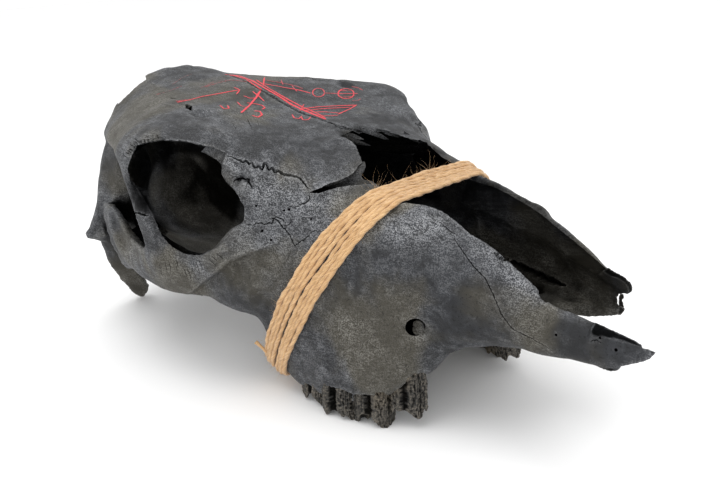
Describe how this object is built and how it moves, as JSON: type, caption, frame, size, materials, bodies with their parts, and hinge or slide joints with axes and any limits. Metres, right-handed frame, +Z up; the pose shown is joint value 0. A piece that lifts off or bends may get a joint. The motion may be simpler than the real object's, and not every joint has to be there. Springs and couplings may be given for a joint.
{
  "type": "cow skull",
  "caption": "Blackened cattle skull without its lower jaw, bound round the snout with a band of jute twine, lying on its cheek teeth.",
  "frame": {"origin": "middle of the skull's bounding box, at the surface that it lies on", "axes": "+Z up from that surface, -Y towards the muzzle, +X towards the skull's left side"},
  "size_m": [0.181, 0.3677, 0.1497],
  "materials": {
    "blackened_bone": "matt, dry, fibrous bone stained black",
    "blackened_enamel": "worn enamel stained black, slightly satin",
    "jute": "natural golden jute, hairy"
  },
  "bodies": {
    "root": {"cranium": "blackened_bone", "incisive_right": "blackened_bone", "incisive_left": "blackened_bone", "tooth_right_1": "blackened_enamel", "tooth_right_2": "blackened_enamel", "tooth_right_3": "blackened_enamel", "tooth_right_4": "blackened_enamel", "tooth_left_1": "blackened_enamel", "tooth_left_2": "blackened_enamel", "tooth_left_3": "blackened_enamel", "tooth_left_4": "blackened_enamel", "twine": "jute"}
  },
  "joints": []
}
